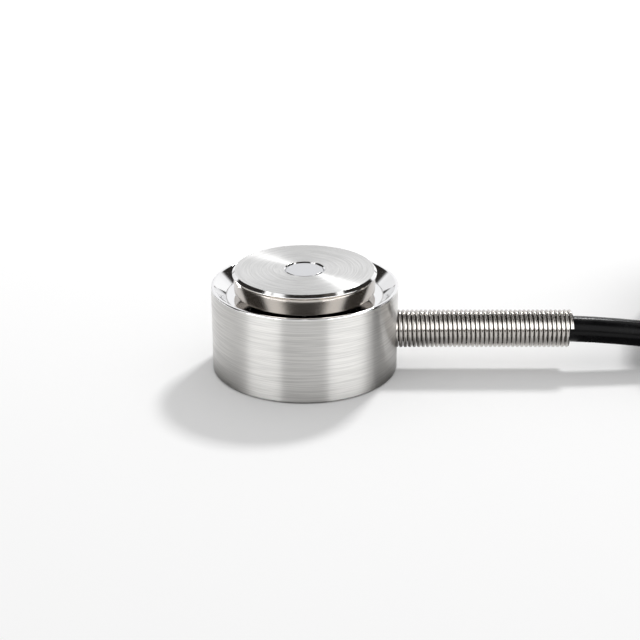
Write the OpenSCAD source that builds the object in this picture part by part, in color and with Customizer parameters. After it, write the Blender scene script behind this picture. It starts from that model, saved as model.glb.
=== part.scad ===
/* [Body] */
// Outside diameter of the body
body_d = 25.4; // [24.4:0.1:32]
// Height of the body from its base to its rim
body_h = 12; // [11:0.1:16]
// Edge break round the base
base_chamfer = 0.2; // [0.1:0.05:0.4]
// Edge break round the rim
rim_chamfer = 0.2; // [0.1:0.05:0.4]
// Flat land between the rim's edge break and the dish
rim_land = 0.2; // [0.1:0.05:0.5]
// Depth of the dish round the load button
dish_depth = 1.5; // [1.2:0.1:2]
// Width of the dish's conical wall, seen from above
dish_run = 1.6; // [1:0.1:2]
// Wall of the outer ring beside the gauge cavity
ring_wall = 4.5; // [4.2:0.1:5]

/* [Sensing section] */
// Thickness of the diaphragm that bends under load
diaphragm_t = 0.9; // [0.6:0.1:1.4]
// Diameter of the hub in the middle of the diaphragm
hub_d = 9; // [8:0.1:9.6]
// Length of the hub below the diaphragm
hub_drop = 4.4; // [3.6:0.1:5]

/* [Load button] */
// Diameter of the button at its lip
button_d = 19.6; // [17:0.1:20]
// Height of the button's top above the rim
button_rise = 2.1; // [1.4:0.1:4]
// How far the lip stands out from the button's wall
lip_out = 0.2; // [0.1:0.05:0.4]
// Height of the lip below its chamfer
lip_h = 0.2; // [0.1:0.05:0.5]
// Chamfer round the button's top
button_chamfer = 0.3; // [0.2:0.05:0.5]
// Gap between the button's underside and the dish's floor
button_gap = 0.8; // [0.5:0.05:1.1]

/* [Centre pin] */
// Diameter of the pin that holds the button to the hub
pin_d = 5.2; // [4:0.1:6]
// Length of the pin inside the hub
pin_grip = 3.6; // [2.5:0.1:4.4]
// How far the pin's end lies below the button's top
pin_sink = 0.1; // [0.05:0.05:0.3]
// Chamfer round the mouth of the button's bore
pin_mouth = 0.15; // [0.05:0.05:0.3]
// Radial play of the pin, closed by the press fit
pin_play = 0.02; // [0.01:0.01:0.04]

/* [Base] */
// Thickness of the welded base cover
cover_t = 0.8; // [0.6:0.1:1]
// How far the cover lies above the standing face
cover_recess = 0.2; // [0.1:0.05:0.4]
// Radial play of the cover in its seat
cover_play = 0.05; // [0.02:0.01:0.1]
// Radial width of the ledge that the cover seats on
cover_ledge = 0.5; // [0.4:0.05:0.6]
// Tapping-drill diameter of the mounting holes
bolt_hole_d = 2.05; // [1.6:0.05:2.3]
// Depth of the mounting holes
bolt_depth = 4; // [3:0.1:5]
// Radial wall between a mounting hole and the outside
bolt_edge = 0.675; // [0.6:0.025:0.8]

/* [Cable] */
// Diameter of the cable's jacket
cable_d = 3.6; // [3:0.1:4]
// Height of the cable's axis above the base
cable_axis_h = 5.35; // [5.2:0.05:6]
// Radial play of the cable in its bore
cable_play = 0.05; // [0.03:0.01:0.1]
// Distance of the jacket's inner end from the hub
cable_hub_gap = 1.8; // [1.5:0.1:2]

/* [Strain relief] */
// Diameter of the spring's wire
wire_d = 0.55; // [0.4:0.05:0.65]
// Gap between one turn of the spring and the next
turn_gap = 0.065; // [0.04:0.005:0.3]
// Radial gap between the cable and the spring
spring_bore_gap = 0.25; // [0.15:0.05:0.4]
// Length of the spring outside the body
spring_out = 24; // [12:0.5:28]
// Depth of the spring's seat in the body's side
spring_seat = 2.2; // [1.6:0.1:2.4]
// Clearance of the spring in its seat
spring_play = 0.05; // [0.03:0.01:0.1]

/* [Terminal ring] */
// Thickness of the terminal ring
board_t = 0.4; // [0.3:0.1:0.8]
// Radial width of the ledge that the terminal ring seats on
board_ledge = 0.5; // [0.4:0.05:0.6]
// Radial gap between the hub and the terminal ring
board_slot = 1.1; // [1:0.05:1.3]
// Distance of a conductor's pad from the terminal ring's outer edge
pad_edge = 1.35; // [1.2:0.05:1.6]
// Gap between the crimp ferrule and the terminal ring
board_gap = 0.15; // [0.1:0.05:0.25]

/* [Crimp ferrule] */
// Wall of the crimp ferrule
ferrule_wall = 0.35; // [0.25:0.05:0.4]
// Length of the crimp ferrule
ferrule_len = 1.2; // [0.8:0.1:1.3]
// Radial play of the ferrule on the jacket
ferrule_play = 0.02; // [0.01:0.01:0.04]

/* [Gauges] */
// Length of a gauge along the radius
gauge_len = 3; // [2.4:0.1:3.2]
// Width of a gauge
gauge_w = 2.2; // [1.8:0.1:2.6]
// Thickness of a gauge's carrier film
film_t = 0.06; // [0.04:0.01:0.1]
// Thickness of a gauge's foil
foil_t = 0.03; // [0.02:0.01:0.05]
// Width of one line of the foil grid
foil_line = 0.1; // [0.08:0.01:0.12]
// Number of lines in the foil grid
foil_lines = 7; // [5:2:9]

/* [Wiring] */
// Diameter of one of the cable's insulated conductors
conductor_d = 0.6; // [0.45:0.05:0.6]
// Diameter of a gauge's jumper wire
jumper_d = 0.14; // [0.1:0.02:0.18]
// Diameter of a solder joint
solder_d = 0.8; // [0.6:0.05:0.9]
// Height of a solder joint
solder_h = 0.4; // [0.3:0.05:0.45]
// Length, width and height of a trimming resistor
resistor = [1.6, 0.8, 0.45]; // [0.4:0.05:2]

/* [Cable end] */
// Pitch of the turns in the stored coil
coil_pitch = 3.64; // [3.64:0.01:4]
// Diameter at the middle of the coil's turns
coil_mean_d = 41; // [39:0.1:41.4]
// Distance of the coil's centre from the end of the spring
coil_away = 39.6; // [39:0.2:48]
// Distance of the coil's centre to the side of the cable's line
coil_aside = 13.25; // [8:0.05:16]
// Angle at which the jacket of the last turn ends
coil_end_deg = 268; // [200:1:270]
// Length of the shrink sleeve on the cable's end
sleeve_len = 12; // [8:1:14]
// Wall of the shrink sleeve
sleeve_wall = 0.35; // [0.25:0.05:0.5]
// Length of the free leads
lead_len = 30; // [20:1:32]
// Length of a tinned tip
tip_len = 6; // [4:0.5:8]
// Diameter of a tinned tip
tip_d = 0.35; // [0.25:0.05:0.4]

/* [Hidden] */
$fn = 96;
// Small clearance between parts that are bonded face to face
bond = 0.02;
// Over-run of a cut past the face that it opens
over = 1;

body_r = body_d / 2;
floor_z = body_h - dish_depth;
floor_r = body_r - rim_chamfer - rim_land - dish_run;
roof_z = floor_z - diaphragm_t;
hub_r = hub_d / 2;
hub_end_z = roof_z - hub_drop;
cavity_r = body_r - ring_wall;

button_z = floor_z + button_gap;
top_z = body_h + button_rise;
lip_r = button_d / 2;
wall_r = lip_r - lip_out;
face_r = lip_r - button_chamfer;
lip_z = top_z - button_chamfer;
pin_r = pin_d / 2;
pin_bore_r = pin_r + pin_play;
pin_end_z = button_z - pin_grip;
pin_chamfer = 0.12;

cable_r = cable_d / 2;
cable_bore_r = cable_r + cable_play;
ferrule_in_r = cable_r + ferrule_play;
ferrule_r = ferrule_in_r + ferrule_wall;
cable_start_x = hub_r + cable_hub_gap;
ferrule_end_x = sqrt(pow(cavity_r, 2) - pow(ferrule_r, 2)) - bond;
ferrule_start_x = max(ferrule_end_x - ferrule_len, cable_start_x);

spring_in_r = cable_r + spring_bore_gap;
wire_r = wire_d / 2;
coil_line_r = spring_in_r + wire_r;
spring_r = spring_in_r + wire_d;
seat_r = spring_r + spring_play;
seat_x = body_r - spring_seat;
spring_start_x = seat_x + spring_play;
spring_end_x = body_r + spring_out;
turn_pitch = wire_d + turn_gap;
spring_turns = (spring_end_x - spring_start_x - wire_d) / turn_pitch;
// Where the wire's cut end shows, from the top towards the front
wire_end_deg = 65;
wire_sides = 8;
turn_steps = 14;

board_top_z = cable_axis_h - ferrule_r - board_gap;
board_z = board_top_z - board_t;
board_pocket_r = cavity_r + board_ledge;
board_r = board_pocket_r - cover_play;
board_in_r = hub_r + board_slot;
cover_top_z = cover_recess + cover_t;
cover_seat_r = board_pocket_r + cover_ledge;
cover_r = cover_seat_r - cover_play;
bolt_r = bolt_hole_d / 2;
bolt_circle_r = body_r - bolt_edge - bolt_r;
bolt_angles = [60, 180, 300];
drill_tip = 0.6;

// A gauge lies across the diaphragm, between the hub and the ring
gauge_mid_r = (hub_r + cavity_r) / 2;
gauge_angles = [45, 135, 225, 315];
gauge_z = roof_z - bond;
foil_z = gauge_z - film_t;
tab_w = 0.6;
tab_len = 0.7;
grid_len = gauge_len - tab_len - 3 * foil_line;
line_pitch = 2 * foil_line;
jumper_side = gauge_w / 2 - tab_w / 2 - foil_line;
jumper_r = gauge_mid_r - gauge_len / 2 + tab_len / 2 + foil_line;
jumper_hole_r = board_in_r + 0.45;
jumper_bow = 0.35;

// Solder joints of the four conductors, under the terminal ring
conductor_r = conductor_d / 2;
conductor_angles = [-28, -10, 10, 28];
conductor_y = [-0.75, -0.5, 0.5, 0.75];
conductor_rise = [0.45, -0.65, -0.65, 0.45];
conductor_bend = 0.62;
drop_r = hub_r + board_slot / 2;
under_z = board_z - conductor_r - bond;
pad_r = board_r - pad_edge;
solder_r = solder_d / 2;
resistor_angles = [90, 180];
resistor_mid_r = (board_in_r + board_r) / 2;

// Route of the cable: distance beyond the spring's end, and share of the drop still to come.
// It ends at the coil's side with the last share.
surface_z = cable_r + bond;
route = [[-3, 1], [0, 0.985], [3, 0.945], [6, 0.88], [9, 0.8], [12, 0.68], [15, 0.52]];
route_end = 0.44;
cable_sides = 8;

// The coil's columns and layers, and the angle at which its last turn has reached the outside
coil_columns = 3;
coil_layers = 4;
last_turn_deg = 20;
coil_x = spring_end_x + coil_away;
coil_half_w = (coil_columns - 1) / 2 * coil_pitch;
coil_outer_r = coil_mean_d / 2 + coil_half_w;
coil_side_r = coil_outer_r + cable_r;
coil_inner_r = coil_mean_d / 2 - coil_half_w - cable_r;
coil_shelf_z = (coil_layers - 1) * coil_pitch;
coil_top_z = coil_shelf_z + cable_d;
cable_end_x = coil_x - sqrt(pow(coil_side_r, 2) - pow(coil_aside - cable_r, 2)) - bond;
sleeve_in_r = cable_r + bond;
sleeve_r = sleeve_in_r + sleeve_wall;
shelf_in_r = coil_side_r - coil_pitch;
sleeve_line_r = shelf_in_r + sleeve_r + bond;
last_z = coil_shelf_z + sleeve_r + bond;
deg_per_mm = 180 / (PI * coil_outer_r);
sleeve_deg = sleeve_len * deg_per_mm;
lead_deg = lead_len * deg_per_mm;
tip_deg = tip_len * deg_per_mm;
lead_start_deg = coil_end_deg + sleeve_deg;
tip_r = tip_d / 2;
// The leads fan out from the sleeve and lie side by side on the coil
lead_count = 5;
lead_exit = [[-1.3, -0.4], [-0.65, 0.5], [0, -0.5], [0.65, 0.5], [1.3, -0.4]];
lead_gap = 0.12;
lead_low_z = coil_shelf_z + conductor_r + bond;

function unit(v) = v / norm(v);
function ease(t) = t * t * (3 - 2 * t);
function polar(r, a, z) = [r * cos(a), r * sin(a), z];

function bent(a, b, c, t) = (1 - t) * (1 - t) * a + 2 * t * (1 - t) * b + t * t * c;

// The corners of p rounded off, with n steps in each bend, and both ends kept
function rounded(p, n) =
    let (last = len(p) - 2)
    concat(
        [for (i = [1:last]) for (k = [0:n - 1])
            bent(i == 1 ? p[0] : (p[i - 1] + p[i]) / 2, p[i],
                i == last ? p[last + 1] : (p[i] + p[i + 1]) / 2, k / n)],
        [p[last + 1]]);

function heading(p, i) = unit(p[min(i + 1, len(p) - 1)] - p[max(i - 1, 0)]);

// Side direction at every point of p, carried along from the one before
function sides_along(p, side, i = 0) = i == len(p) ? [] :
    let (h = heading(p, i), s = unit(side - (side * h) * h))
    concat([s], sides_along(p, s, i + 1));

function ring_at(c, h, s, r, n) =
    let (u = cross(h, s)) [for (k = [0:n - 1]) c + r * (cos(360 * k / n) * s + sin(360 * k / n) * u)];

function rings_along(p, r, n, side) = let (s = sides_along(p, side))
    [for (i = [0:len(p) - 1]) ring_at(p[i], heading(p, i), s[i], r, n)];

// A closed solid through a list of rings with the same number of points
module skin(rings) {
    n = len(rings[0]);
    m = len(rings);
    walls = [for (i = [0:m - 2]) for (k = [0:n - 1])
        let (a = i * n + k, b = i * n + (k + 1) % n)
        each [[a, b + n, b], [a, a + n, b + n]]];
    near_cap = [for (k = [0:n - 1]) k];
    far_cap = [for (k = [n - 1:-1:0]) (m - 1) * n + k];
    polyhedron(points = [for (ring = rings) each ring], faces = concat(walls, [near_cap, far_cap]));
}

module tube_along(p, r, n, side = [0, 0, 1]) {
    skin(rings_along(p, r, n, side));
}

module turned(profile) {
    rotate_extrude() polygon(profile);
}

module along_x(x, z) {
    translate([x, 0, z]) rotate([0, 90, 0]) children();
}

module round_body(angle) {
    rotate([0, 0, angle]) children();
}

// Section of the outer ring, the diaphragm and the hub, from the base's inner edge round
module body_turning() {
    turned([
        [cover_seat_r, 0],
        [body_r - base_chamfer, 0],
        [body_r, base_chamfer],
        [body_r, body_h - rim_chamfer],
        [body_r - rim_chamfer, body_h],
        [floor_r + dish_run, body_h],
        [floor_r, floor_z],
        [hub_r, floor_z],
        [hub_r, button_z],
        [pin_bore_r, button_z],
        [pin_bore_r, pin_end_z],
        [0, pin_end_z],
        [0, hub_end_z],
        [hub_r, hub_end_z],
        [hub_r, roof_z],
        [cavity_r, roof_z],
        [cavity_r, board_top_z],
        [board_pocket_r, board_top_z],
        [board_pocket_r, cover_top_z],
        [cover_seat_r, cover_top_z]]);
}

module mounting_holes() {
    for (a = bolt_angles) {
        round_body(a) translate([bolt_circle_r, 0, 0]) {
            translate([0, 0, -over]) cylinder(h = bolt_depth + over, r = bolt_r);
            translate([0, 0, bolt_depth]) cylinder(h = drill_tip, r1 = bolt_r, r2 = 0);
        }
    }
}

module body() {
    color([0.74, 0.75, 0.76]) difference() {
        body_turning();
        along_x(hub_r + board_slot, cable_axis_h) cylinder(h = body_r, r = cable_bore_r);
        along_x(seat_x, cable_axis_h) cylinder(h = spring_seat + over, r = seat_r);
        mounting_holes();
    }
}

module load_button() {
    color([0.8, 0.8, 0.81]) turned([
        [pin_bore_r, button_z],
        [wall_r, button_z],
        [wall_r, lip_z - lip_h - lip_out],
        [lip_r, lip_z - lip_h],
        [lip_r, lip_z],
        [face_r, top_z],
        [pin_bore_r + pin_mouth, top_z],
        [pin_bore_r, top_z - pin_mouth]]);
}

module centre_pin() {
    color([0.7, 0.71, 0.74]) turned([
        [0, pin_end_z + bond],
        [pin_r - pin_chamfer, pin_end_z + bond],
        [pin_r, pin_end_z + bond + pin_chamfer],
        [pin_r, top_z - pin_sink - pin_chamfer],
        [pin_r - pin_chamfer, top_z - pin_sink],
        [0, top_z - pin_sink]]);
}

module base_cover() {
    color([0.72, 0.73, 0.74]) turned([
        [0, cover_recess],
        [cover_r - base_chamfer, cover_recess],
        [cover_r, cover_recess + base_chamfer],
        [cover_r, cover_top_z],
        [0, cover_top_z]]);
}

// Foil grid: parallel lines joined in turn at one end and the other, and two solder tabs
module foil_grid() {
    first_y = -(foil_lines - 1) / 2 * line_pitch;
    start_x = -gauge_len / 2 + foil_line;
    grid_x = start_x + tab_len;
    linear_extrude(foil_t) {
        for (i = [0:foil_lines - 1]) {
            translate([grid_x, first_y + i * line_pitch - foil_line / 2]) square([grid_len, foil_line]);
        }
        for (i = [0:foil_lines - 2]) {
            end_x = i % 2 == 0 ? grid_x + grid_len - foil_line : grid_x;
            translate([end_x, first_y + i * line_pitch]) square([foil_line, line_pitch]);
        }
        for (s = [-1, 1]) {
            translate([start_x, s * jumper_side - tab_w / 2]) square([tab_len, tab_w]);
            translate([grid_x - foil_line, min(s * jumper_side, s * -first_y)])
                square([foil_line * 2, abs(jumper_side + first_y) + foil_line]);
        }
    }
}

module strain_gauge(i) {
    color([0.85, 0.6, 0.2]) round_body(gauge_angles[i]) translate([gauge_mid_r, 0, 0]) {
        translate([-gauge_len / 2, -gauge_w / 2, foil_z]) cube([gauge_len, gauge_w, film_t]);
        translate([0, 0, foil_z - foil_t]) foil_grid();
    }
}

module jumper_places() {
    for (a = gauge_angles, s = [-1, 1]) {
        round_body(a) translate([0, s * jumper_side, 0]) children();
    }
}

module terminal_ring() {
    color([0.1, 0.4, 0.2]) difference() {
        turned([[board_in_r, board_z], [board_r, board_z], [board_r, board_top_z], [board_in_r, board_top_z]]);
        jumper_places() translate([jumper_hole_r, 0, board_z - over]) cylinder(h = board_t + 2 * over, r = jumper_d);
    }
}

module trimming_resistor(i) {
    color([0.12, 0.12, 0.13]) round_body(resistor_angles[i])
        translate([resistor_mid_r, 0, board_z - bond - resistor.z / 2])
            cube([resistor.y, resistor.x, resistor.z], center = true);
}

module solder_dome() {
    translate([0, 0, -solder_h]) cylinder(h = solder_h, r1 = solder_r / 2, r2 = solder_r);
}

module solder_joints() {
    color([0.8, 0.81, 0.83]) translate([0, 0, board_z]) {
        for (a = conductor_angles) {
            round_body(a) translate([pad_r, 0, 0]) solder_dome();
        }
        jumper_places() translate([jumper_hole_r, 0, 0]) solder_dome();
    }
}

// One jumper: down from a gauge's tab, bowed, and through the terminal ring
module jumper() {
    steps = 8;
    start = [jumper_r, 0, foil_z - foil_t - bond];
    end = [jumper_hole_r, 0, board_top_z];
    curve = [for (k = [0:steps]) let (t = k / steps)
        start + (end - start) * t + [jumper_bow * sin(180 * t), 0, 0]];
    tube_along(concat(curve, [[jumper_hole_r, 0, board_z + bond]]), jumper_d / 2, 6, [0, 1, 0]);
}

module gauge_wires() {
    color([0.75, 0.4, 0.2]) jumper_places() jumper();
}

// One conductor: out of the jacket, down beside the hub and under the terminal ring to its joint
module conductor(i, colour) {
    a = conductor_angles[i];
    start = [cable_start_x - bond, conductor_y[i], cable_axis_h + conductor_rise[i]];
    corners = [
        start - [conductor_r / 2, 0, 0],
        start - [conductor_d, 0, 0],
        polar(drop_r, a, start.z - conductor_d),
        polar(drop_r, a, under_z + 2 * conductor_bend),
        polar(drop_r, a, under_z),
        polar(drop_r + 2 * conductor_bend, a, under_z),
        polar(pad_r - solder_r - bond, a, under_z)];
    color(colour) tube_along(concat([start], rounded(corners, 3)), conductor_r, 8);
}

module cable_ferrule() {
    color([0.78, 0.66, 0.4]) along_x(ferrule_start_x, cable_axis_h) difference() {
        cylinder(h = ferrule_end_x - ferrule_start_x, r = ferrule_r);
        translate([0, 0, -over]) cylinder(h = ferrule_len + 2 * over, r = ferrule_in_r);
    }
}

// Close-wound wire: one small ring of points for every step round the cable
module strain_relief_spring() {
    steps = ceil(spring_turns * turn_steps);
    rings = [for (i = [0:steps])
        let (left = spring_turns * (1 - i / steps),
             a = wire_end_deg - 360 * left,
             x = spring_end_x - wire_r - turn_pitch * left)
        [for (k = [0:wire_sides - 1])
            let (b = 360 * k / wire_sides, r = coil_line_r + wire_r * cos(b))
            [x + wire_r * sin(b), -r * sin(a), cable_axis_h + r * cos(a)]]];
    color([0.72, 0.72, 0.73]) skin(rings);
}

module cable() {
    inside = [for (t = [0, 0.25, 0.5, 0.75])
        [cable_start_x + (spring_end_x + route[0].x - cable_start_x) * t, 0, cable_axis_h]];
    outside = [for (q = route)
        [spring_end_x + q.x, 0, surface_z + (cable_axis_h - surface_z) * q.y]];
    end = [cable_end_x, 0, surface_z + (cable_axis_h - surface_z) * route_end];
    points = concat(inside, outside, [end]);
    color([0.1, 0.1, 0.11]) tube_along(points, cable_r, cable_sides, [0, 1, 0]);
}

module at_coil() {
    translate([coil_x, coil_aside, 0]) rotate([0, 0, -90]) children();
}

module cable_coil() {
    color([0.1, 0.1, 0.11]) at_coil() {
        turned([
            [coil_inner_r, cable_r],
            [coil_inner_r + cable_r, 0],
            [coil_side_r - cable_r, 0],
            [coil_side_r, cable_r],
            [coil_side_r, coil_shelf_z],
            [shelf_in_r, coil_shelf_z],
            [shelf_in_r, coil_top_z - cable_r],
            [shelf_in_r - cable_r, coil_top_z],
            [coil_inner_r + cable_r, coil_top_z],
            [coil_inner_r, coil_top_z - cable_r]]);
        rotate([0, 0, last_turn_deg]) rotate_extrude(angle = coil_end_deg - last_turn_deg)
            translate([shelf_in_r - bond, coil_shelf_z - bond]) square([coil_pitch + bond, cable_d]);
    }
}

module end_sleeve() {
    color([0.06, 0.06, 0.06]) at_coil() rotate([0, 0, coil_end_deg]) rotate_extrude(angle = sleeve_deg)
        translate([sleeve_line_r, last_z]) circle(r = sleeve_r);
}

function lead_low_r(i) = shelf_in_r + bond + conductor_r + i * (conductor_d + lead_gap);

// A lead's middle line, from the sleeve's end to the place where it lies on the coil
function lead_point(i, t) =
    let (f = ease(min(1, 2 * t)),
         from = [sleeve_line_r, last_z] + lead_exit[i],
         to = [lead_low_r(i), lead_low_z],
         q = from + (to - from) * f,
         gap_deg = lead_gap * deg_per_mm)
    polar(q.x, lead_start_deg + gap_deg + (lead_deg - tip_deg - gap_deg) * t, q.y);

module lead(i, colour) {
    steps = 12;
    color(colour) at_coil() tube_along([for (k = [0:steps]) lead_point(i, k / steps)], conductor_r, 8);
}

module lead_tips() {
    color([0.8, 0.81, 0.83]) at_coil() {
        for (i = [0:lead_count - 1]) {
            rotate([0, 0, lead_start_deg + lead_deg - tip_deg + bond]) rotate_extrude(angle = tip_deg)
                translate([lead_low_r(i), lead_low_z]) circle(r = tip_r);
        }
    }
}

body();
load_button();
centre_pin();
base_cover();
strain_gauge(0);  // strain_gauge_1
strain_gauge(1);  // strain_gauge_2
strain_gauge(2);  // strain_gauge_3
strain_gauge(3);  // strain_gauge_4
terminal_ring();
trimming_resistor(0);  // span_resistor
trimming_resistor(1);  // zero_resistor
solder_joints();
gauge_wires();
conductor(0, "red");  // conductor_red
conductor(1, "black");  // conductor_black
conductor(2, "green");  // conductor_green
conductor(3, "white");  // conductor_white
cable_ferrule();
strain_relief_spring();
cable();
cable_coil();
end_sleeve();
lead(0, "red");  // lead_red
lead(1, "black");  // lead_black
lead(2, "green");  // lead_green
lead(3, "white");  // lead_white
lead(4, "silver");  // lead_shield
lead_tips();
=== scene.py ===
import math

import bmesh
import bpy
from mathutils import Matrix, Vector


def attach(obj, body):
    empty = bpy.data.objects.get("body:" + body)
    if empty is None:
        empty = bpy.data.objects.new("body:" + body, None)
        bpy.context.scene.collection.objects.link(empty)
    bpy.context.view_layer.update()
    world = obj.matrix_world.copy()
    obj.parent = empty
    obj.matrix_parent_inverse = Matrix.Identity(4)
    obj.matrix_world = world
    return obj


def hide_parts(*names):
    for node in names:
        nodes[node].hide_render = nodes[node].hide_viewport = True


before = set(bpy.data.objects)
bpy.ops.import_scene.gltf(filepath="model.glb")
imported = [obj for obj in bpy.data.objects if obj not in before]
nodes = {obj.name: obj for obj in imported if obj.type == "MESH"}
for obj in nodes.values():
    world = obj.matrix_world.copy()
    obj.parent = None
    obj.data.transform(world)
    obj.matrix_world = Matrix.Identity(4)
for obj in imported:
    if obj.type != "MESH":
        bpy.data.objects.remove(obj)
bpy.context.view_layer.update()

# The view: a long lens that looks down on the body from the front, 23 degrees above the table.
# Lengths in this file are in millimetres, and mm() turns them into Blender's metres.
MM = 0.001


def mm(*place):
    return Vector(place) * MM


camera = bpy.data.objects.new("camera", bpy.data.cameras.new("camera"))
bpy.context.scene.collection.objects.link(camera)
bpy.context.scene.camera = camera
camera.data.lens = 81.4
camera.data.sensor_width = 36
camera.data.clip_start = 10 * MM
camera.location = mm(2.02, -182.85, 83.92)
aim = mm(2.09, 0, 6.59)
camera.rotation_euler = (aim - camera.location).to_track_quat("-Z", "Y").to_euler()

# The cable: four conductors, a braid and a filler in a black polyurethane jacket, drawn round and smooth.
# It leaves the body straight through the spring, sinks to the table beyond the spring's end,
# and its stored length is wound in three columns and four layers outside the view.
CABLE_R = 1.8
AXIS_H = 5.35
CABLE_START_X = 6.3
BODY_R = 12.7
SPRING_END_X = 36.7
TABLE_LINE_Z = 1.82
# How it sinks: distances beyond the spring's end, and the share of its height over the table at each
DROP = [[-3, 1], [0, 0.985], [3, 0.945], [6, 0.88], [9, 0.8], [12, 0.68],
        [15, 0.52], [18, 0.34], [21, 0.16], [24, 0.04], [27, 0]]
# Outside the view it swings aside in a plain bend and runs on into the coil's first turn
SIDE_BEND_R = 16

COIL_X = 76.3
COIL_Y = 13.25
COIL_PITCH = 3.64
COIL_MEAN_R = 20.5
COIL_OUTER_R = COIL_MEAN_R + COIL_PITCH
COLUMN_RADII = [COIL_OUTER_R, COIL_MEAN_R, COIL_MEAN_R - COIL_PITCH]
# Column and layer of each turn, and the angle at which the cable leaves each for the next
TURNS = [(0, 0), (1, 0), (2, 0), (2, 1), (1, 1), (0, 1), (0, 2), (1, 2), (2, 2), (2, 3), (1, 3), (0, 3)]
FIRST_CHANGE_DEG = 310
CHANGE_DEG = 50
COIL_END_DEG = 10 * 360 + 268
STEP_DEG = 7.5
# The jacket is drawn into the sleeve over its last steps, and ends a little before the sleeve does
DRAW_IN_DEG = 2 * STEP_DEG
JACKET_SHORT_DEG = 1
SLEEVE_LINE_R = 24.49
LAST_Z = 13.11
SLEEVE_DEG = 28.48


def ease(t):
    t = min(1, max(0, t))
    return t * t * (3 - 2 * t)


def on_coil(radius, degrees, z):
    turn = math.radians(degrees)
    return (COIL_X + radius * math.sin(turn), COIL_Y - radius * math.cos(turn), z)


def change_angles():
    """The angle at which each change starts: a turn after the last one, or a change's length less where
    one of the two is a climb to a new layer."""
    angles = [FIRST_CHANGE_DEG]
    climbs = [a[1] != b[1] for a, b in zip(TURNS, TURNS[1:])]
    for before, now in zip(climbs, climbs[1:]):
        angles.append(angles[-1] + (360 if before == now else 360 - CHANGE_DEG))
    return angles


def turn_place(degrees):
    """Radius and height of the cable at an angle of the coil."""
    radius, z = COLUMN_RADII[TURNS[0][0]], TABLE_LINE_Z
    for start, a, b in zip(change_angles(), TURNS, TURNS[1:]):
        done = ease((degrees - start) / CHANGE_DEG)
        radius += (COLUMN_RADII[b[0]] - COLUMN_RADII[a[0]]) * done
        z += (b[1] - a[1]) * COIL_PITCH * done
    into_sleeve = ease((degrees - COIL_END_DEG + DRAW_IN_DEG) / DRAW_IN_DEG)
    return radius + (SLEEVE_LINE_R - radius) * into_sleeve, z + (LAST_Z - z) * into_sleeve


# The bend and the coil touch where the line between their centres crosses both
join_turn = math.acos((COIL_Y + SIDE_BEND_R) / (COIL_OUTER_R + SIDE_BEND_R))
bend_start_x = COIL_X - (COIL_OUTER_R + SIDE_BEND_R) * math.sin(join_turn)


def run_height(distance):
    """Height of the cable at a distance from the body's axis, measured along it."""
    shares = [(SPRING_END_X + x, share) for x, share in DROP]
    for (x0, high), (x1, low) in zip(shares, shares[1:]):
        if x0 <= distance < x1:
            high += (low - high) * (distance - x0) / (x1 - x0)
            return TABLE_LINE_Z + (AXIS_H - TABLE_LINE_Z) * high
    return AXIS_H if distance < shares[0][0] else TABLE_LINE_Z


def run_place(distance):
    """A point of the free cable: straight out, and then round the side bend."""
    swing = max(0, distance - bend_start_x) / SIDE_BEND_R
    return (min(distance, bend_start_x) + SIDE_BEND_R * math.sin(swing),
            -SIDE_BEND_R * (1 - math.cos(swing)), run_height(distance))


RUN_STEP = 1.5
run_end = bend_start_x + SIDE_BEND_R * join_turn
run_steps = round((run_end - CABLE_START_X) / RUN_STEP)
cable_line = [run_place(CABLE_START_X + (run_end - CABLE_START_X) * k / run_steps) for k in range(run_steps)]
join_deg = -math.degrees(join_turn)
coil_span = COIL_END_DEG + SLEEVE_DEG - JACKET_SHORT_DEG - join_deg
coil_steps = round(coil_span / STEP_DEG)
for step in range(coil_steps + 1):
    angle = join_deg + step * coil_span / coil_steps
    radius, z = turn_place(angle)
    further = run_end + math.radians(angle - join_deg) * COIL_OUTER_R
    cable_line.append(on_coil(radius, angle, max(z, run_height(further))))


def wire_curve(name, line, radius, roundness):
    """A round wire, lead or jacket along a line of points."""
    curve = bpy.data.curves.new(name, "CURVE")
    curve.dimensions = "3D"
    curve.bevel_depth = 1
    curve.bevel_resolution = roundness
    curve.use_fill_caps = True
    curve.twist_mode = "MINIMUM"
    spline = curve.splines.new("POLY")
    spline.points.add(len(line) - 1)
    for point, place in zip(spline.points, line):
        point.co = (*mm(*place), 1)
        point.radius = radius * MM
    spline.use_smooth = True
    piece = bpy.data.objects.new(name, curve)
    bpy.context.scene.collection.objects.link(piece)
    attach(piece, "root")
    return piece


def link(tree, source, target):
    tree.links.new(source, target)


def plain_material(name, colour, roughness, metallic=0.0, **sockets):
    """A material whose plain values sit on the shader itself, with its tree and its shader."""
    made = bpy.data.materials.new(name)
    made.use_nodes = True
    shader = made.node_tree.nodes["Principled BSDF"]
    shader.inputs["Base Color"].default_value = (*colour, 1)
    shader.inputs["Roughness"].default_value = roughness
    shader.inputs["Metallic"].default_value = metallic
    for socket, value in sockets.items():
        shader.inputs[socket.replace("_", " ")].default_value = value
    return made, made.node_tree, shader


def place_on(tree, kind="Object"):
    return tree.nodes.new("ShaderNodeTexCoord").outputs[kind]


def noise(tree, vector, scale, detail=2.0):
    """A noise whose scale is in cells a millimetre."""
    node = tree.nodes.new("ShaderNodeTexNoise")
    node.inputs["Scale"].default_value = scale / MM
    node.inputs["Detail"].default_value = detail
    link(tree, vector, node.inputs["Vector"])
    return node.outputs["Fac"]


def spread(tree, value, low, high, start=0.3, end=0.7):
    """A value between start and end becomes one between low and high."""
    node = tree.nodes.new("ShaderNodeMapRange")
    node.inputs["From Min"].default_value = start
    node.inputs["From Max"].default_value = end
    node.inputs["To Min"].default_value = low
    node.inputs["To Max"].default_value = high
    link(tree, value, node.inputs["Value"])
    return node.outputs["Result"]


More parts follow.
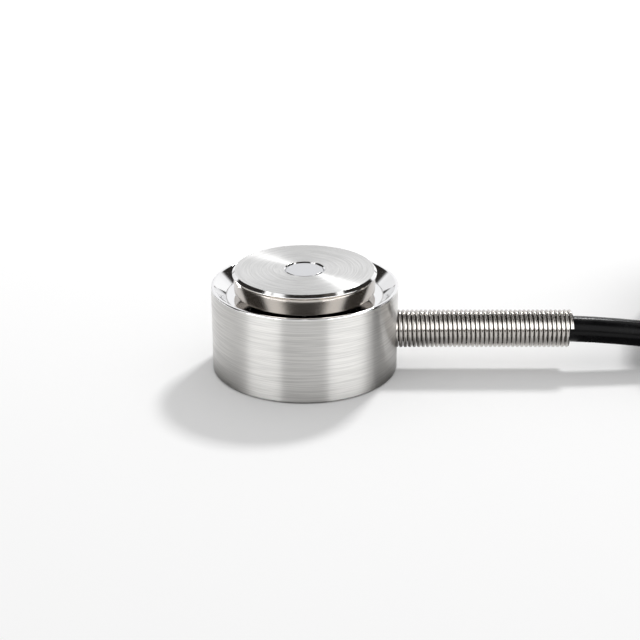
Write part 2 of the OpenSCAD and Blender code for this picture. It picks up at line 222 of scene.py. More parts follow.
def between(tree, mask, low, high):
    """One colour where a mask is 0 and another where it is 1, each of them written out or from a node."""
    node = tree.nodes.new("ShaderNodeMix")
    node.data_type = "RGBA"
    link(tree, mask, node.inputs["Factor"])
    for name, colour in (("A", low), ("B", high)):
        if isinstance(colour, (tuple, list)):
            node.inputs[name].default_value = (*colour, 1)
        else:
            link(tree, colour, node.inputs[name])
    return node.outputs["Result"]


def bumped(tree, shader, height, depth, strength=1.0):
    """Raises the surface by a height between 0 and 1, of a depth in millimetres."""
    node = tree.nodes.new("ShaderNodeBump")
    node.inputs["Strength"].default_value = strength
    node.inputs["Distance"].default_value = depth * MM
    link(tree, height, node.inputs["Height"])
    link(tree, node.outputs["Normal"], shader.inputs["Normal"])


def jacket_material(name, colour, roughness):
    """Extruded plastic: a faint drawn unevenness, and a little dust in the dull places."""
    made, tree, shader = plain_material(name, colour, roughness, Specular_IOR_Level=0.15)
    place = place_on(tree)
    cloud = noise(tree, place, scale=0.6, detail=3)
    dusty = [min(1, c * 1.35 + 0.002) for c in colour]
    link(tree, between(tree, cloud, colour, dusty), shader.inputs["Base Color"])
    link(tree, spread(tree, cloud, roughness - 0.05, roughness + 0.08), shader.inputs["Roughness"])
    bumped(tree, shader, noise(tree, place, scale=4, detail=3), depth=0.01, strength=0.5)
    return made


cable = wire_curve("cable_jacket", cable_line, CABLE_R, roundness=8)
cable.data.materials.append(jacket_material("cable_black", (0.003, 0.003, 0.0034), 0.22))
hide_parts("cable", "cable_coil")

# The strain relief spring: bright drawn steel wire, wound close on a mandrel a little larger than the cable.
# Its first turns sit in the body's seat, and its wire is cut off square at the far end.
WIRE_R = 0.275
SPRING_LINE_R = 2.325
SPRING_START_X = 10.55
TURN_PITCH = 0.615
WIRE_END_DEG = 65
SPRING_STEPS = 36
spring_turns = (SPRING_END_X - SPRING_START_X - 2 * WIRE_R) / TURN_PITCH
wire_line = []
for step in range(round(spring_turns * SPRING_STEPS) + 1):
    left = spring_turns - step / SPRING_STEPS
    turn = math.radians(WIRE_END_DEG - 360 * left)
    wire_line.append((SPRING_END_X - WIRE_R - TURN_PITCH * left,
                      -SPRING_LINE_R * math.sin(turn), AXIS_H + SPRING_LINE_R * math.cos(turn)))
spring = wire_curve("strain_relief_wire", wire_line, WIRE_R, roundness=5)
wire_steel, tree, shader = plain_material("spring_steel", (0.63, 0.62, 0.61), 0.12, metallic=1.0)
drawn = noise(tree, place_on(tree), scale=3)
link(tree, between(tree, drawn, (0.49, 0.465, 0.44), (0.6, 0.58, 0.56)), shader.inputs["Base Color"])
link(tree, spread(tree, drawn, 0.08, 0.18), shader.inputs["Roughness"])
spring.data.materials.append(wire_steel)
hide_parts("strain_relief_spring")

# The shrink sleeve: a black plastic tube, shrunk with heat over the end of the jacket where the leads
# come out, with its edges drawn in round the cable.
SLEEVE_R = 2.17
SLEEVE_SIDES = 32
SLEEVE_STEPS = 20
SLEEVE_EDGE = 0.25
MERGE_GAP = 0.0005


def steep(edge, degrees):
    """Whether the two faces of an edge meet at more than an angle."""
    return len(edge.link_faces) == 2 and edge.calc_face_angle(0) > math.radians(degrees)


def keep(bm, name, material, sharp_deg=5):
    """Makes the mesh of a piece, with every edge steeper than sharp_deg kept crisp."""
    for edge in bm.edges:
        edge.smooth = not steep(edge, sharp_deg)
    for face in bm.faces:
        face.smooth = True
    mesh = bpy.data.meshes.new(name)
    bm.to_mesh(mesh)
    bm.free()
    mesh.materials.append(material)
    piece = bpy.data.objects.new(name, mesh)
    bpy.context.scene.collection.objects.link(piece)
    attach(piece, "root")
    return piece


bm = bmesh.new()
round_end = bmesh.ops.create_circle(bm, segments=SLEEVE_SIDES, radius=SLEEVE_R * MM, cap_ends=True)["verts"]
bmesh.ops.rotate(bm, verts=round_end, matrix=Matrix.Rotation(math.radians(90), 3, "X"))
bmesh.ops.rotate(bm, verts=round_end, matrix=Matrix.Rotation(math.radians(-90), 3, "Z"))
bmesh.ops.translate(bm, verts=round_end, vec=mm(0, -SLEEVE_LINE_R, LAST_Z))
bmesh.ops.rotate(bm, verts=round_end, matrix=Matrix.Rotation(math.radians(COIL_END_DEG), 3, "Z"))
bmesh.ops.translate(bm, verts=round_end, vec=mm(COIL_X, COIL_Y, 0))
bmesh.ops.spin(bm, geom=bm.verts[:] + bm.edges[:] + bm.faces[:], cent=mm(COIL_X, COIL_Y, 0),
               axis=(0, 0, 1), angle=math.radians(SLEEVE_DEG), steps=SLEEVE_STEPS, use_duplicate=False)
bmesh.ops.remove_doubles(bm, verts=bm.verts[:], dist=MERGE_GAP * MM)
bmesh.ops.recalc_face_normals(bm, faces=bm.faces[:])
rims = [edge for edge in bm.edges if steep(edge, 60)]
bmesh.ops.bevel(bm, geom=rims, offset=SLEEVE_EDGE * MM, segments=4, profile=0.5, affect="EDGES", material=-1)
sleeve_black = jacket_material("sleeve_black", (0.01, 0.01, 0.01), 0.45)
sleeve = keep(bm, "shrink_sleeve", sleeve_black, sharp_deg=40)
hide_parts("end_sleeve")

# The leads: four stranded conductors in thin coloured insulation and the tinned braid twisted to a fifth.
# They fan out of the sleeve, lie side by side on the coil, and end in tinned tips.
LEAD_R = 0.3
LEAD_GAP = 0.12
LEAD_DEG = 71.2
LEAD_STEPS = 24
SETTLE_STEPS = 12
TIP_DEG = 14.2
TIP_GAP_DEG = 0.05
TIP_R = 0.175
TIP_STEPS = 8
SHELF_IN_R = 22.3
SHELF_GAP = 0.02
LEAD_LOW_Z = 11.24
# Where each lead leaves the sleeve's end: outwards and upwards from its middle
LEAD_EXIT = [[-1.3, -0.4], [-0.65, 0.5], [0, -0.5], [0.65, 0.5], [1.3, -0.4]]
LEAD_COLOURS = {"red": (0.5, 0.01, 0.012), "black": (0.015, 0.015, 0.016), "green": (0.01, 0.2, 0.05),
                "white": (0.72, 0.72, 0.7), "shield": (0.7, 0.69, 0.67)}
gap_deg = math.degrees(LEAD_GAP / COIL_OUTER_R)
lead_start = COIL_END_DEG + SLEEVE_DEG + gap_deg
lead_turn = LEAD_DEG - TIP_DEG - gap_deg
tip_start = lead_start + lead_turn + TIP_GAP_DEG


def twisted_metal(name, colour, twists):
    """Tinned strands: ridges that run slantwise along the wire, with the grooves between them painted darker
    as painted shade, so that the ridges look bright.
    """
    made, tree, shader = plain_material(name, colour, 0.3, metallic=1.0)
    wave = tree.nodes.new("ShaderNodeTexWave")
    wave.bands_direction = "DIAGONAL"
    wave.inputs["Scale"].default_value = twists / MM
    wave.inputs["Distortion"].default_value = 1.5
    link(tree, place_on(tree), wave.inputs["Vector"])
    ridge = wave.outputs["Fac"]
    # Painted shade: the grooves between the strands are darker, following the bump
    link(tree, between(tree, ridge, [c * 0.6 for c in colour], colour), shader.inputs["Base Color"])
    bumped(tree, shader, ridge, depth=0.03)
    return made


tinned = twisted_metal("tinned_copper", (0.72, 0.71, 0.69), 0.9)
lead_pieces = []
for number, (word, colour) in enumerate(LEAD_COLOURS.items()):
    out_r = SLEEVE_LINE_R + LEAD_EXIT[number][0]
    out_z = LAST_Z + LEAD_EXIT[number][1]
    low_r = SHELF_IN_R + SHELF_GAP + LEAD_R + number * (2 * LEAD_R + LEAD_GAP)
    line = []
    for step in range(LEAD_STEPS + 1):
        settled = ease(step / SETTLE_STEPS)
        line.append(on_coil(out_r + (low_r - out_r) * settled, lead_start + lead_turn * step / LEAD_STEPS,
                            out_z + (LEAD_LOW_Z - out_z) * settled))
    lead = wire_curve("wire_" + word, line, LEAD_R, roundness=4)
    coat = tinned if word == "shield" else jacket_material("insulation_" + word, colour, 0.35)
    lead.data.materials.append(coat)
    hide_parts("lead_" + word)
    tip_line = [on_coil(low_r, tip_start + TIP_DEG * step / TIP_STEPS, LEAD_LOW_Z)
                for step in range(TIP_STEPS + 1)]
    tip = wire_curve("tip_" + word, tip_line, TIP_R, roundness=3)
    tip.data.materials.append(tinned)
    lead_pieces += [lead, tip]
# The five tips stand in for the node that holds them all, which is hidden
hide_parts("lead_tips")

# The table and the studio: a white table that keeps a soft shadow, two soft lamps behind on the right, and
# a white room with soft boxes, dark gaps and a dark ceiling round the body. Only glossy surfaces see the
# room, and to them the table's colour is painted dark close round the body and under the cable: painted
# shade of the body's foot and a painted shadow of the cable, which only reflections show.
TABLE_SIDE = 4000
TABLE_COLOUR = (0.95, 0.95, 0.95)
TABLE_GLOW = (0.03, 0.03, 0.03)
# Painted shade: the table's colour that glossy rays see close round the body's foot and under the cable
GLOSSY_PAINTED_SHADE = (0.03, 0.03, 0.028)
FOOT_R = 13
CONTACT_R = 13.8
SHADE_R = 19
SHADE_FRONT_Y = -14
SHADE_FRONT = 0.25
SHADE_FULL_Y = -7
CABLE_SHADE_X = (38, 60)
CABLE_SHADE_Y = (-10, 4)


def math_node(tree, operation, *values):
    """The result of a sum, each of whose values is a number or comes from a node."""
    node = tree.nodes.new("ShaderNodeMath")
    node.operation = operation
    for socket, value in zip(node.inputs, values):
        if isinstance(value, (int, float)):
            socket.default_value = value
        else:
            link(tree, value, socket)
    return node.outputs["Value"]


def combined(tree, operation, masks):
    result = masks[0]
    for mask in masks[1:]:
        result = math_node(tree, operation, result, mask)
    return result


def both(tree, *masks):
    """1 where every mask is 1."""
    return combined(tree, "MULTIPLY", masks)


def either(tree, *masks):
    """1 where any mask is 1."""
    return combined(tree, "MAXIMUM", masks)


def outside(tree, mask):
    """1 where a mask is 0."""
    return math_node(tree, "SUBTRACT", 1, mask)


def within(tree, value, low, high):
    """1 where a length is between two values in millimetres."""
    return both(tree, math_node(tree, "GREATER_THAN", value, low * MM),
                math_node(tree, "LESS_THAN", value, high * MM))


def apart(tree, vector):
    """A vector's X, Y and Z."""
    node = tree.nodes.new("ShaderNodeSeparateXYZ")
    link(tree, vector, node.inputs["Vector"])
    return node.outputs


def from_axis(tree, place):
    """How far a place is from the body's axis."""
    squares = [math_node(tree, "MULTIPLY", place[axis], place[axis]) for axis in "XY"]
    return math_node(tree, "SQRT", math_node(tree, "ADD", *squares))


table_white, tree, shader = plain_material("table_white", TABLE_COLOUR, 0.9, Specular_IOR_Level=0.0,
                                           Emission_Strength=1.0)
rays = tree.nodes.new("ShaderNodeLightPath").outputs
seen = either(tree, rays["Is Camera Ray"], rays["Is Glossy Ray"])
link(tree, between(tree, seen, (0, 0, 0), TABLE_GLOW), shader.inputs["Emission Color"])
place = apart(tree, place_on(tree))
foot = from_axis(tree, place)
# Painted shade for glossy rays only: the table darkened round the body's foot, most behind it and right at
# the foot, and a painted shadow under the cable
painted_foot_shade = both(tree, spread(tree, foot, 1, 0, FOOT_R * MM, SHADE_R * MM),
                 spread(tree, place["Y"], SHADE_FRONT, 1, SHADE_FRONT_Y * MM, SHADE_FULL_Y * MM))
painted_contact_shade = spread(tree, foot, 1, 0, FOOT_R * MM, CONTACT_R * MM)
painted_cable_shadow = both(tree, within(tree, place["X"], *CABLE_SHADE_X), within(tree, place["Y"], *CABLE_SHADE_Y))
shade = both(tree, either(tree, painted_foot_shade, painted_contact_shade, painted_cable_shadow), rays["Is Glossy Ray"])
link(tree, between(tree, shade, TABLE_COLOUR, GLOSSY_PAINTED_SHADE), shader.inputs["Base Color"])
bm = bmesh.new()
bmesh.ops.create_grid(bm, x_segments=1, y_segments=1, size=TABLE_SIDE / 2 * MM)
mesh = bpy.data.meshes.new("table")
bm.to_mesh(mesh)
bm.free()
mesh.materials.append(table_white)
table = bpy.data.objects.new("table", mesh)
bpy.context.scene.collection.objects.link(table)

LAMP_DISTANCE = 600
LAMP_WIDTH = 85
LAMP_HEIGHT = 75
LAMP_AIM_Z = 6


def soft_lamp(name, direction, power):
    """A rectangular soft lamp that faces the body from a direction."""
    lamp = bpy.data.lights.new(name, "AREA")
    lamp.shape = "RECTANGLE"
    lamp.size = LAMP_WIDTH * MM
    lamp.size_y = LAMP_HEIGHT * MM
    lamp.energy = power
    holder = bpy.data.objects.new(name, lamp)
    bpy.context.scene.collection.objects.link(holder)
    holder.location = mm(0, 0, LAMP_AIM_Z) + Vector(direction).normalized() * LAMP_DISTANCE * MM
    holder.rotation_euler = (-Vector(direction)).to_track_quat("-Z", "Y").to_euler()
    return holder


# One lamp lights the table and gives the shadow, and one beside it gives the steel its highlight
shadow_lamp = soft_lamp("shadow_lamp", (0.34, 0.675, 0.692), 1.95)
shadow_lamp.visible_glossy = False
highlight_lamp = soft_lamp("highlight_lamp", (0.255, 0.675, 0.692), 1.0)
highlight_lamp.visible_diffuse = False

world = bpy.data.worlds.new("studio")
bpy.context.scene.world = world
world.use_nodes = True
tree = world.node_tree
HALF_ROUND = 180


def in_degrees(tree, operation, *values):
    return math_node(tree, "DEGREES", math_node(tree, operation, *values))


def degrees_from(tree, way, direction):
    """Degrees between the way that a ray goes and a direction."""
    node = tree.nodes.new("ShaderNodeVectorMath")
    node.operation = "DOT_PRODUCT"
    node.inputs[1].default_value = direction
    link(tree, way, node.inputs[0])
    return in_degrees(tree, "ARCCOSINE", node.outputs["Value"])


def walls_round(tree, degrees, walls):
    """Walls from the camera's side round to the back: each is even from its start to its end, in degrees,
    and fades into the next."""
    node = tree.nodes.new("ShaderNodeValToRGB")
    marks = node.color_ramp.elements
    while len(marks) < 2 * len(walls):
        marks.new(0.5)
    stops = [(stop, colour) for start, end, colour in walls for stop in (start, end)]
    for mark, (stop, colour) in zip(marks, stops):
        mark.position = stop / HALF_ROUND
        mark.color = (*colour, 1)
    link(tree, math_node(tree, "DIVIDE", degrees, HALF_ROUND), node.inputs["Fac"])
    return node.outputs["Color"]


def patch(tree, value, start, end, soft):
    """1 between start and end, with edges that fade over a soft width."""
    edges = []
    for low, high in ((start - soft / 2, start + soft / 2), (end + soft / 2, end - soft / 2)):
        node = tree.nodes.new("ShaderNodeMapRange")
        node.interpolation_type = "SMOOTHSTEP"
        node.inputs["From Min"].default_value = low
        node.inputs["From Max"].default_value = high
        link(tree, value, node.inputs["Value"])
        edges.append(node.outputs["Result"])
    return both(tree, *edges)


# Where a ray goes: degrees round from the camera's side, to the right or the left alike, and degrees
# above the table
way = place_on(tree, "Generated")
heading = apart(tree, way)
to_front = math_node(tree, "MULTIPLY", heading["Y"], -1)
aside = in_degrees(tree, "ARCTAN2", math_node(tree, "ABSOLUTE", heading["X"]), to_front)
high = in_degrees(tree, "ARCSINE", heading["Z"])
on_right = math_node(tree, "GREATER_THAN", heading["X"], 0)
on_left = outside(tree, on_right)
EITHER_SIDE = 1
UP = 90
room = walls_round(tree, aside, [
    (0, 72, (0.1, 0.09, 0.08)), (79.2, 115.2, (1.7, 1.69, 1.67)), (140.4, HALF_ROUND, (1.1, 1.1, 1.11))])
# What is laid over the walls, each over the one before: its side, its start, end and softness round the
# body and above the table, and its colour
PATCHES = [
    # The wall behind is brighter on the right, where the lamps stand, and most of all beside the body
    (on_right, (140, 172, 14), (-UP, 20, 8), (1.2, 1.2, 1.2)),
    (on_left, (140, 172, 14), (-UP, 20, 8), (1.0, 1.0, 1.005)),
    (on_right, (84, 112, 10), (-UP, 18, 6), (2.6, 2.58, 2.55)),
    # Two soft boxes beside the camera, brighter in their lower parts, and a third in front
    (on_left, (28, 73, 4), (-UP, 63, 5), (1.3, 1.3, 1.3)),
    (on_left, (28, 73, 4), (-UP, 38, 8), (4.5, 4.5, 4.5)),
    (on_right, (28, 79, 4), (-UP, 52, 5), (1.3, 1.3, 1.3)),
    (on_right, (28, 79, 4), (-UP, 38, 8), (4.5, 4.5, 4.5)),
    (EITHER_SIDE, (-30, 29, 3), (12, 63, 3), (1.2, 1.2, 1.2)),
    # Dark gaps between the soft boxes and the wall behind, and above that wall
    (EITHER_SIDE, (86, 138, 5), (18, 55, 4), (0.03, 0.027, 0.025)),
    (EITHER_SIDE, (130, 200, 5), (41, 58, 4), (0.05, 0.045, 0.04)),
    # A light panel behind, above the wall
    (EITHER_SIDE, (145, 200, 8), (59, UP + 10, 3), (1.15, 1.13, 1.1)),
    # The dark edge of the room above the table: high in front, a thin line behind
    (EITHER_SIDE, (-30, 136, 6), (0.5, 11, 1.5), (0.12, 0.1, 0.085)),
    (EITHER_SIDE, (136, 200, 6), (0.4, 2.2, 0.8), (0.25, 0.24, 0.23))]
for side, round_it, above, colour in PATCHES:
    mask = both(tree, side, patch(tree, aside, *round_it), patch(tree, high, *above))
    room = between(tree, mask, room, colour)
# A dark ceiling, and a small lamp in it: the middle, the reach and the softness of each, and its colour
CEILING = [((0, -0.044, 0.999), 25.5, 2, (0.025, 0.022, 0.02)), ((0, -0.122, 0.9925), 2, 1, (4, 4, 4))]
BEFORE_MIDDLE = -10
for middle, reach, soft, colour in CEILING:
    mask = patch(tree, degrees_from(tree, way, middle), BEFORE_MIDDLE, reach, soft)
    room = between(tree, mask, room, colour)

# Glossy rays see the room, unless they come by way of a dull surface. An even grey lights everything else,
# and the camera sees white.
FILL_LIGHT = (0.65, 0.65, 0.65)
WHITE = (1, 1, 1)
rays = tree.nodes.new("ShaderNodeLightPath").outputs
straight = math_node(tree, "LESS_THAN", rays["Diffuse Depth"], 0.5)
light = between(tree, both(tree, rays["Is Glossy Ray"], straight), FILL_LIGHT, room)
seen = either(tree, rays["Is Camera Ray"], rays["Is Transmission Ray"])
link(tree, between(tree, seen, light, WHITE), tree.nodes["Background"].inputs["Color"])
bpy.context.scene.view_settings.view_transform = "Standard"

# The body: turned from stainless bar in one piece, with the standing ring, the side, the rim and the dish.
# The side keeps the lines of the turning tool and the dish is polished. A bore and a seat for the
# spring go through the side, and three tapped holes go up into the ring.
BODY_H = 12
EDGE_BREAK = 0.2
LAND_R = 12.3
DISH_FLOOR_R = 10.7
DISH_FLOOR_Z = 10.5
RELIEF = 0.11
HUB_R = 4.5
HUB_TOP_Z = 11.3
HUB_END_Z = 5.2
PIN_BORE_R = 2.62
PIN_END_Z = 7.7
ROOF_Z = 9.6
CAVITY_R = 8.2
BOARD_TOP_Z = 3.03
BOARD_POCKET_R = 8.7
COVER_TOP_Z = 1.0
COVER_SEAT_R = 9.2
CABLE_BORE_R = 1.85
CABLE_BORE_X = 5.6
SEAT_R = 2.65
SEAT_X = 10.5
SEAT_DRILL = 4
BOLT_R = 1.025
BOLT_CIRCLE_R = 11
BOLT_DEPTH = 4
DRILL_TIP = 0.6
DRILL_SIDES = 96
DRILL_PAST = 1
TURNING_STEPS = 192
ROUND_STEPS = 4


def turned(profile, corner=0.03):
    """Turns a profile of radius and height round the Z axis, with its corners just broken."""
    bm = bmesh.new()
    points = [bm.verts.new(mm(r, 0, z)) for r, z in profile]
    open_at_axis = profile[0][0] == 0
    for a, b in zip(points, points[1:] + ([] if open_at_axis else points[:1])):
        bm.edges.new((a, b))
    off_axis = [v for v in points if v.co.x > 0 and len(v.link_edges) == 2]
    bmesh.ops.bevel(bm, geom=off_axis, offset=corner * MM, segments=3, profile=0.5,
                    affect="VERTICES", material=-1)
    bmesh.ops.spin(bm, geom=bm.verts[:] + bm.edges[:], cent=(0, 0, 0), axis=(0, 0, 1),
                   angle=2 * math.pi, steps=TURNING_STEPS, use_merge=True, use_duplicate=False)
    bmesh.ops.remove_doubles(bm, verts=bm.verts[:], dist=MERGE_GAP * MM)
    bmesh.ops.recalc_face_normals(bm, faces=bm.faces[:])
    return bm


def drill(radius, depth, place, turn, tip=0):
    """A straight cylinder from a place along a direction, with a cone at its end."""
    bm = bmesh.new()
    shank = bmesh.ops.create_cone(bm, cap_ends=True, segments=DRILL_SIDES, radius1=radius * MM,
                                  radius2=radius * MM, depth=depth * MM)["verts"]
    bmesh.ops.translate(bm, verts=shank, vec=mm(0, 0, depth / 2))
    if tip:
        end = [f for f in bm.faces if f.normal.z > 0.9]
        middle = bmesh.ops.poke(bm, faces=end)["verts"]
        bmesh.ops.translate(bm, verts=middle, vec=mm(0, 0, tip))
    bmesh.ops.transform(bm, matrix=Matrix.Translation(mm(*place)) @ turn.to_4x4(), verts=bm.verts[:])
    mesh = bpy.data.meshes.new("drill")
    bm.to_mesh(mesh)
    bm.free()
    return bpy.data.objects.new("drill", mesh)


def drilled(bm, drills):
    """Cuts every drill out of a mesh."""
    mesh = bpy.data.meshes.new("blank")
    bm.to_mesh(mesh)
    bm.free()
    blank = bpy.data.objects.new("blank", mesh)
    for tool in [blank, *drills]:
        bpy.context.scene.collection.objects.link(tool)
    for tool in drills:
        cut = blank.modifiers.new("cut", "BOOLEAN")
        cut.operation = "DIFFERENCE"
        cut.solver = "EXACT"
        cut.object = tool
    ready = blank.evaluated_get(bpy.context.evaluated_depsgraph_get())
    cut_bm = bmesh.new()
    cut_bm.from_mesh(ready.to_mesh())
    ready.to_mesh_clear()
    for tool in [blank, *drills]:
        bpy.data.objects.remove(tool)
    bmesh.ops.remove_doubles(cut_bm, verts=cut_bm.verts[:], dist=MERGE_GAP * MM)
    return cut_bm


def turning_group():
    """Lines of a turning tool round the Z axis: their height, and how bright they are."""
    group = bpy.data.node_groups.new("turning_lines", "ShaderNodeTree")
    for name, kind in (("Vector", "Vector"), ("Lines", "Float"), ("Streaks", "Float")):
        group.interface.new_socket(name, in_out="INPUT", socket_type="NodeSocket" + kind)
    for name in ("Height", "Tone"):
        group.interface.new_socket(name, in_out="OUTPUT", socket_type="NodeSocketFloat")
    entry = group.nodes.new("NodeGroupInput").outputs
    way_out = group.nodes.new("NodeGroupOutput").inputs
    place = apart(group, entry["Vector"])
    # Never quite 0, so that it can divide
    radius = math_node(group, "MAXIMUM", from_axis(group, place), 0.01 * MM)
    feed = math_node(group, "MULTIPLY", math_node(group, "ADD", radius, place["Z"]), 1 / MM)
    spot = group.nodes.new("ShaderNodeCombineXYZ")
    link(group, math_node(group, "MULTIPLY", feed, entry["Lines"]), spot.inputs["X"])
    for axis, socket in (("X", "Y"), ("Y", "Z")):
        round_it = math_node(group, "DIVIDE", place[axis], radius)
        link(group, math_node(group, "MULTIPLY", round_it, entry["Streaks"]), spot.inputs[socket])
    for name, scale, detail in (("Height", 1.0, 3.0), ("Tone", 0.9, 2.0)):
        texture = group.nodes.new("ShaderNodeTexNoise")
        texture.inputs["Scale"].default_value = scale
        texture.inputs["Detail"].default_value = detail
        texture.inputs["Roughness"].default_value = 0.7
        link(group, spot.outputs["Vector"], texture.inputs["Vector"])
        link(group, texture.outputs["Fac"], way_out[name])
    return group


turning_lines = turning_group()
# Colour and roughness of steel that is finished further
POLISHED = ((0.78, 0.78, 0.785), 0.06)
GROUND = ((0.6, 0.565, 0.525), 0.07)


def turned_steel(name, colour, roughness, lines, streaks, depth, anisotropic, finer=()):
    """Steel off the lathe, its highlight drawn out across the lines. Each finer finish has a function for
    its mask, and a colour and a roughness."""
    made, tree, shader = plain_material(name, colour, roughness, metallic=1.0,
                                        Anisotropic=anisotropic, Anisotropic_Rotation=0.25)
    marks = tree.nodes.new("ShaderNodeGroup")
    marks.node_tree = turning_lines
    marks.inputs["Lines"].default_value = lines
    marks.inputs["Streaks"].default_value = streaks
    link(tree, place_on(tree), marks.inputs["Vector"])
    shades = spread(tree, marks.outputs["Tone"], 0, 1, 0.36, 0.6)
    toned = between(tree, shades, [c * 0.86 for c in colour], [min(1, c * 1.06) for c in colour])
    height = marks.outputs["Height"]
    dull = roughness
    for where, fine_colour, fine_roughness in finer:
        mask = where(tree)
        toned = between(tree, mask, toned, fine_colour)
        height = both(tree, height, outside(tree, mask))
        dull = math_node(tree, "ADD", dull, math_node(tree, "MULTIPLY", mask, fine_roughness - roughness))
        link(tree, dull, shader.inputs["Roughness"])
    link(tree, toned, shader.inputs["Base Color"])
    bumped(tree, shader, height, depth)
    round_axis = tree.nodes.new("ShaderNodeTangent")
    round_axis.direction_type = "RADIAL"
    round_axis.axis = "Z"
    link(tree, round_axis.outputs["Tangent"], shader.inputs["Tangent"])
    return made


def zone(tree, axis, low, high):
    """1 where a place's height or radius, in millimetres, is between two values."""
    place = apart(tree, place_on(tree))
    return within(tree, place["Z"] if axis == "Z" else from_axis(tree, place), low, high)


# The rim is rounded off by hand with a stone, and a fine tool relief runs round the foot of the cone
rim_edge = []
for step in range(ROUND_STEPS + 1):
    turn = math.radians(90 * step / ROUND_STEPS)
    rim_edge.append((BODY_R - EDGE_BREAK + EDGE_BREAK * math.sin(turn),
                     BODY_H - EDGE_BREAK + EDGE_BREAK * math.cos(turn)))
relief_r = DISH_FLOOR_R - RELIEF
relief_z = DISH_FLOOR_Z - RELIEF
blank = turned([
    (0, PIN_END_Z), (PIN_BORE_R, PIN_END_Z), (PIN_BORE_R, HUB_TOP_Z), (HUB_R, HUB_TOP_Z),
    (HUB_R, DISH_FLOOR_Z), (relief_r, DISH_FLOOR_Z), (relief_r, relief_z), (DISH_FLOOR_R, relief_z),
    (DISH_FLOOR_R, DISH_FLOOR_Z), (LAND_R, BODY_H), *rim_edge,
    (BODY_R, EDGE_BREAK), (BODY_R - EDGE_BREAK, 0), (COVER_SEAT_R, 0),
    (COVER_SEAT_R, COVER_TOP_Z), (BOARD_POCKET_R, COVER_TOP_Z), (BOARD_POCKET_R, BOARD_TOP_Z),
    (CAVITY_R, BOARD_TOP_Z), (CAVITY_R, ROOF_Z), (HUB_R, ROOF_Z), (HUB_R, HUB_END_Z), (0, HUB_END_Z)])
sideways = Matrix.Rotation(math.radians(90), 3, "Y")
straight_up = Matrix.Identity(3)
drills = [drill(CABLE_BORE_R, BODY_R, (CABLE_BORE_X, 0, AXIS_H), sideways),
          drill(SEAT_R, SEAT_DRILL, (SEAT_X, 0, AXIS_H), sideways)]
for degrees in (60, 180, 300):
    turn = math.radians(degrees)
    foot = (BOLT_CIRCLE_R * math.cos(turn), BOLT_CIRCLE_R * math.sin(turn), -DRILL_PAST)
    drills.append(drill(BOLT_R, BOLT_DEPTH + DRILL_PAST, foot, straight_up, DRILL_TIP))
# A finish reaches this far past its surface, or only this far where another begins
WIDE = 0.1
TIGHT = 0.02


def body_polish(tree):
    """The rim and the dish."""
    dish = both(tree, zone(tree, "Z", DISH_FLOOR_Z - WIDE, BODY_H + WIDE),
                zone(tree, "R", 0, LAND_R + WIDE / 2))
    return either(tree, dish, zone(tree, "Z", BODY_H - EDGE_BREAK - TIGHT, BODY_H + WIDE))


body_steel = turned_steel("body_steel", (0.685, 0.678, 0.662), 0.34, lines=6.0, streaks=1.6, depth=0.0015,
                          anisotropic=1.0, finer=[(body_polish, *POLISHED)])
body = keep(drilled(blank, drills), "cell_body", body_steel)
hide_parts("body")

# The base cover: a turned steel disc that closes the cavity from below, pressed into its seat and welded
# round its edge.
COVER_R = 9.15
COVER_Z = 0.2
cover_steel = turned_steel("cover_steel", (0.62, 0.62, 0.62), 0.32, lines=4.0, streaks=2.0, depth=0.006,
                           anisotropic=0.75)
cover = keep(turned([(0, COVER_Z), (COVER_R - EDGE_BREAK, COVER_Z), (COVER_R, COVER_Z + EDGE_BREAK),
                     (COVER_R, COVER_TOP_Z), (0, COVER_TOP_Z)]), "cover_disc", cover_steel)
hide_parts("base_cover")

# The load button: a hardened steel disc on the hub, which takes the load. It is faced on the lathe, and has
# a polished chamfer, a ground wall that is relieved below, and a bore for the pin.
BUTTON_Z = 11.3
TOP_Z = 14.1
LIP_R = 9.8
WALL_R = 9.6
FACE_R = 9.42
LIP_Z = 13.72
LIP_LOW_Z = 13.58
WALL_TOP_Z = 13.4
PIN_MOUTH = 0.2


def button_polish(tree):
    """The chamfer."""
    return zone(tree, "Z", LIP_Z - TIGHT, TOP_Z - TIGHT)


def button_wall(tree):
    """The wall below the chamfer."""
    return zone(tree, "Z", BUTTON_Z - WIDE, LIP_Z - TIGHT)


button_steel = turned_steel("button_steel", (0.615, 0.613, 0.605), 0.22, lines=8.0, streaks=1.2, depth=0.0015,
                            anisotropic=0.93, finer=[(button_polish, *POLISHED), (button_wall, *GROUND)])
button = keep(turned([
    (PIN_BORE_R, BUTTON_Z), (WALL_R, BUTTON_Z), (WALL_R, WALL_TOP_Z), (LIP_R, LIP_LOW_Z), (LIP_R, LIP_Z),
    (FACE_R, TOP_Z), (PIN_BORE_R + PIN_MOUTH, TOP_Z), (PIN_BORE_R, TOP_Z - PIN_MOUTH)], corner=0.025),
    "pressed_button", button_steel)
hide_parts("load_button")

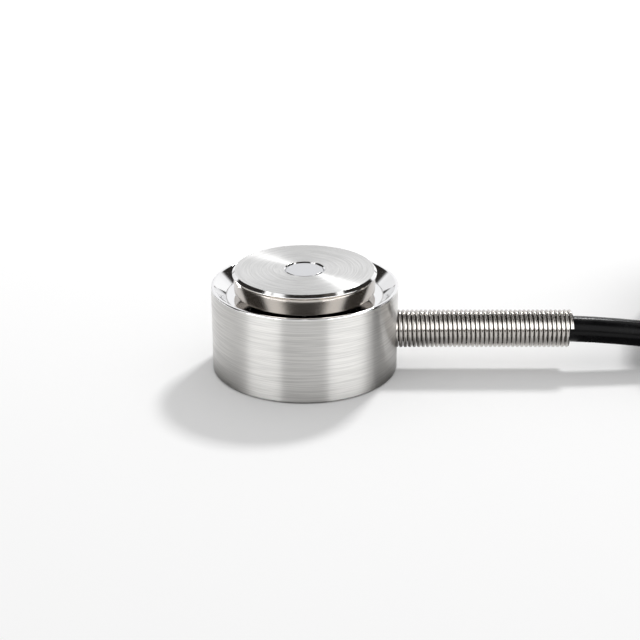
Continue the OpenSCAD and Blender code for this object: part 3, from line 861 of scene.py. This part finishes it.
# The centre pin: ground steel, pressed through the button into the hub, so that it holds the button in the
# middle. Its end is just below the button's face, and the edge is broken and polished.
PIN_R = 2.6
PIN_FOOT_Z = PIN_END_Z + 0.02
PIN_TOP_Z = 14.0
PIN_CHAMFER = 0.14
PIN_EDGE_ROUGHNESS = 0.06
pin_steel, tree, shader = plain_material("pin_steel", (0.61, 0.615, 0.63), 0.22, metallic=1.0)
ground = noise(tree, place_on(tree), scale=6, detail=3)
link(tree, between(tree, ground, (0.55, 0.554, 0.57), (0.61, 0.614, 0.627)), shader.inputs["Base Color"])
pin_edge = zone(tree, "Z", PIN_TOP_Z - PIN_CHAMFER - TIGHT, PIN_TOP_Z - TIGHT / 2)
dull = both(tree, spread(tree, ground, 0.18, 0.24), outside(tree, pin_edge))
link(tree, either(tree, dull, PIN_EDGE_ROUGHNESS), shader.inputs["Roughness"])
pin = keep(turned([
    (0, PIN_FOOT_Z), (PIN_R - PIN_CHAMFER, PIN_FOOT_Z), (PIN_R, PIN_FOOT_Z + PIN_CHAMFER),
    (PIN_R, PIN_TOP_Z - PIN_CHAMFER), (PIN_R - PIN_CHAMFER, PIN_TOP_Z), (0, PIN_TOP_Z)], corner=0.02),
    "ground_pin", pin_steel)
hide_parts("centre_pin")

# The strain gauges: etched foil grids on amber film, four of them, bonded under the sensing web, where it
# bends most. The foil is the lower part of each.
FOIL_TOP_Z = 9.515


def dress(name, material):
    """Gives a CAD node its finish."""
    nodes[name].data.materials.clear()
    nodes[name].data.materials.append(material)


gauge_film, tree, shader = plain_material("gauge_film", (0.6, 0.3, 0.05), 0.25)
is_foil = zone(tree, "Z", 0, FOIL_TOP_Z)
film = between(tree, noise(tree, place_on(tree), scale=2), (0.55, 0.26, 0.04), (0.65, 0.34, 0.07))
link(tree, between(tree, is_foil, film, (0.7, 0.66, 0.55)), shader.inputs["Base Color"])
link(tree, is_foil, shader.inputs["Metallic"])
for number in range(1, 5):
    dress("strain_gauge_%d" % number, gauge_film)

# The terminal ring and what is on it: green glass laminate, two black chip resistors, and domes of solder.
# The ring is glued into its pocket, and the rest is soldered to its pads.
board_green, tree, shader = plain_material("board_green", (0.02, 0.15, 0.05), 0.35, Coat_Weight=0.4)
weave = noise(tree, place_on(tree), scale=5, detail=1)
link(tree, between(tree, weave, (0.012, 0.11, 0.035), (0.03, 0.19, 0.07)), shader.inputs["Base Color"])
dress("terminal_ring", board_green)
resistor_black, tree, shader = plain_material("resistor_black", (0.03, 0.03, 0.033), 0.5)
grains = noise(tree, place_on(tree), scale=12)
link(tree, between(tree, grains, (0.02, 0.02, 0.022), (0.05, 0.05, 0.055)), shader.inputs["Base Color"])
for word in ("span", "zero"):
    dress(word + "_resistor", resistor_black)
solder, tree, shader = plain_material("solder", (0.7, 0.71, 0.72), 0.25, metallic=1.0)
link(tree, spread(tree, noise(tree, place_on(tree), scale=8), 0.15, 0.4), shader.inputs["Roughness"])
dress("solder_joints", solder)

# The wiring: varnished copper jumpers from the gauges, the cable's four conductors, and the brass ferrule
# that is crimped on the jacket inside the body.
wire_copper, tree, shader = plain_material("wire_copper", (0.7, 0.3, 0.14), 0.3, metallic=1.0)
link(tree, spread(tree, noise(tree, place_on(tree), scale=4), 0.2, 0.4), shader.inputs["Roughness"])
dress("gauge_wires", wire_copper)
for word in ("red", "black", "green", "white"):
    dress("conductor_" + word, bpy.data.materials["insulation_" + word])
ferrule_brass, tree, shader = plain_material("ferrule_brass", (0.72, 0.5, 0.18), 0.25, metallic=1.0)
tarnish = noise(tree, place_on(tree), scale=1.5, detail=3)
link(tree, between(tree, tarnish, (0.62, 0.42, 0.14), (0.78, 0.56, 0.22)), shader.inputs["Base Color"])
dress("cable_ferrule", ferrule_brass)
